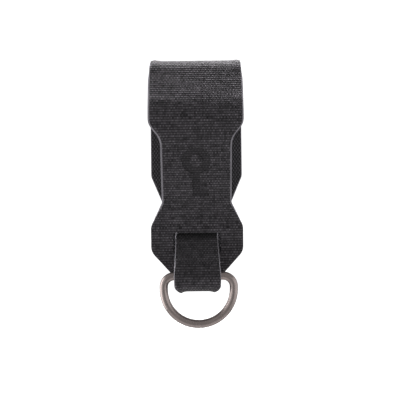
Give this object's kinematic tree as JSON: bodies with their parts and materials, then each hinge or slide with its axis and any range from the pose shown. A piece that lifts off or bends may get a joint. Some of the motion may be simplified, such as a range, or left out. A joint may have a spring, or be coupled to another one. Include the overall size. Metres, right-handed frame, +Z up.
{
  "type": "belt-loop key organiser",
  "caption": "Belt-loop key holder: a laminated strap folded into a loop, its narrow tongue passed through a slot in the front flap and carrying a swinging D-ring.",
  "frame": {"origin": "middle of the inside of the top fold, where a belt bears when the holder hangs", "axes": "+X across the strap's width, +Y towards the back panel and the wearer, +Z up along the strap"},
  "size_m": [0.038, 0.0264, 0.1092],
  "materials": {
    "woven_fabric": "plain-woven matt nylon",
    "edge_foam": "cut foam edge, satin",
    "lining": "grippy diamond-patterned lining",
    "steel": "satin stainless wire",
    "thread": "bonded nylon sewing thread"
  },
  "bodies": {
    "strap": {"strap_fabric": "woven_fabric", "strap_core": "edge_foam", "strap_lining": "lining", "end_fabric": "woven_fabric", "end_core": "edge_foam", "end_lining": "lining", "needle_thread": "thread", "bobbin_thread": "thread"},
    "tongue_loop": {"loop_fabric": "woven_fabric", "loop_core": "edge_foam", "loop_lining": "lining"},
    "ring": {"d_ring": "steel"}
  },
  "joints": [
    {"name": "tongue_flex", "type": "hinge", "parent": "strap", "child": "tongue_loop", "pos_m": [0, 0.0005, -0.07528], "axis": [-1, 0, 0], "range_deg": [0, 80]},
    {"name": "ring_swing", "type": "hinge", "parent": "tongue_loop", "child": "ring", "pos_m": [0, -0.00326, -0.08597], "axis": [-1, 0, 0], "range_deg": [-90, 100]}
  ]
}
